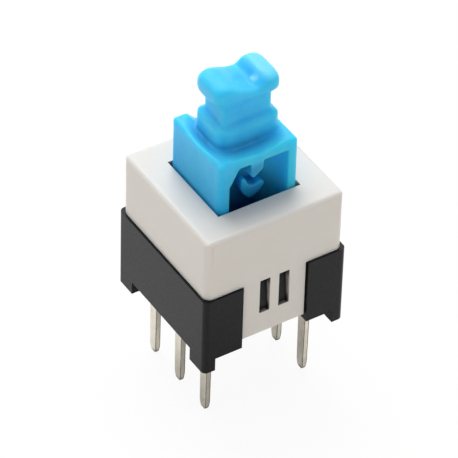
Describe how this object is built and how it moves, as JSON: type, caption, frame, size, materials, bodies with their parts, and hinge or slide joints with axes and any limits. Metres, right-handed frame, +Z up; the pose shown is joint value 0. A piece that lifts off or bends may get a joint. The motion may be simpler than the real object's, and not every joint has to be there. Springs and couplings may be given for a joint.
{
  "type": "momentary push button switch",
  "caption": "Small square through-hole push switch: black base with feet, white clipped cover, blue sprung plunger with cam recess and knob, and flat tinned pins in two rows.",
  "frame": {"origin": "centre of the seating plane under the four corner feet, midway between the two rows of pins", "axes": "+Z up along the plunger's travel, away from the circuit board; -Y is the front, where the plunger's cam recess and a snap tongue show; the rows of pins run along Y at X = -3 mm and X = +3 mm"},
  "size_m": [0.0086, 0.0086, 0.0194],
  "materials": {
    "black_base": "moulded black thermoplastic, fine matt texture",
    "white_cover": "moulded white thermoplastic, satin",
    "blue_plunger": "moulded sky-blue acetal, slightly translucent, satin gloss",
    "spring_wire": "drawn spring steel wire",
    "contact_bronze": "rolled phosphor bronze strip",
    "tinned_brass": "stamped brass sheet, matt tin plated"
  },
  "bodies": {
    "housing": {"base": "black_base", "cover": "white_cover", "return_spring": "spring_wire", "terminal_left_front": "tinned_brass", "terminal_left_middle": "tinned_brass", "terminal_left_rear": "tinned_brass", "terminal_right_front": "tinned_brass", "terminal_right_middle": "tinned_brass", "terminal_right_rear": "tinned_brass"},
    "plunger_body": {"plunger": "blue_plunger", "moving_contact_left": "contact_bronze", "moving_contact_right": "contact_bronze"}
  },
  "joints": [
    {"name": "press", "type": "slide", "parent": "housing", "child": "plunger_body", "axis": [0, 0, -1], "range_m": [0, 0.0025], "stiffness_N_per_m": 600, "springref_m": -0.0014, "deforming": ["return_spring"]}
  ]
}
